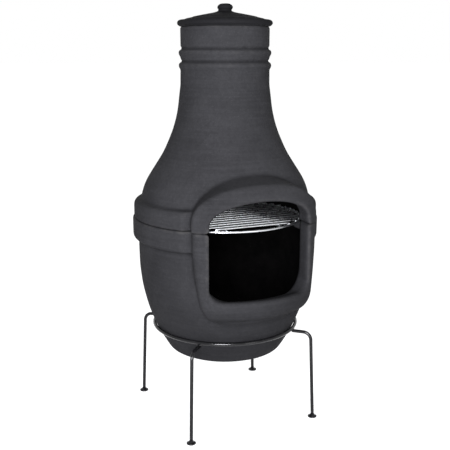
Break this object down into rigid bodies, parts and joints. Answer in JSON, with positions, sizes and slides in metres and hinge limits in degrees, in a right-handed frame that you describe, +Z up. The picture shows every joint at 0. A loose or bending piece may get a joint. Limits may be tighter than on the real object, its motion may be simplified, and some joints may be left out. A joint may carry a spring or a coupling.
{
  "type": "chiminea",
  "caption": "Two-part clay garden chiminea with a framed front mouth, clay lid and loose wire grill, standing in a bent steel rod stand.",
  "frame": {"origin": "on the ground, under the axis of the clay body", "axes": "+Z up along the axis of the clay body, -Y the way the mouth faces, +X to the right of someone who looks into the mouth"},
  "size_m": [0.401, 0.4095, 0.8913],
  "materials": {
    "painted_clay": "matte",
    "chrome_wire": "polished",
    "black_steel": "gloss"
  },
  "bodies": {
    "stand": {"stand_ring": "black_steel", "leg_1": "black_steel", "leg_2": "black_steel", "leg_3": "black_steel", "leg_4": "black_steel", "foot_1": "black_steel", "foot_2": "black_steel", "foot_3": "black_steel", "foot_4": "black_steel"},
    "bowl": {"bowl": "painted_clay"},
    "grill": {"grill_rim": "chrome_wire", "grill_stay_1": "chrome_wire", "grill_stay_2": "chrome_wire", "grill_bar_01": "chrome_wire", "grill_bar_02": "chrome_wire", "grill_bar_03": "chrome_wire", "grill_bar_04": "chrome_wire", "grill_bar_05": "chrome_wire", "grill_bar_06": "chrome_wire", "grill_bar_07": "chrome_wire", "grill_bar_08": "chrome_wire", "grill_bar_09": "chrome_wire", "grill_bar_10": "chrome_wire", "grill_bar_11": "chrome_wire", "grill_bar_12": "chrome_wire", "grill_bar_13": "chrome_wire", "grill_bar_14": "chrome_wire", "grill_bar_15": "chrome_wire"},
    "chimney": {"dome_and_chimney": "painted_clay"},
    "lid": {"lid": "painted_clay"}
  },
  "joints": [
    {"name": "bowl_lift", "type": "slide", "parent": "stand", "child": "bowl", "axis": [0, 0, 1], "range_m": [0, 0.2]},
    {"name": "grill_lift", "type": "slide", "parent": "bowl", "child": "grill", "axis": [0, 0, 1], "range_m": [0, 0.03]},
    {"name": "chimney_lift", "type": "slide", "parent": "bowl", "child": "chimney", "axis": [0, 0, 1], "range_m": [0, 0.3]},
    {"name": "lid_lift", "type": "slide", "parent": "chimney", "child": "lid", "axis": [0, 0, 1], "range_m": [0, 0.15]}
  ]
}
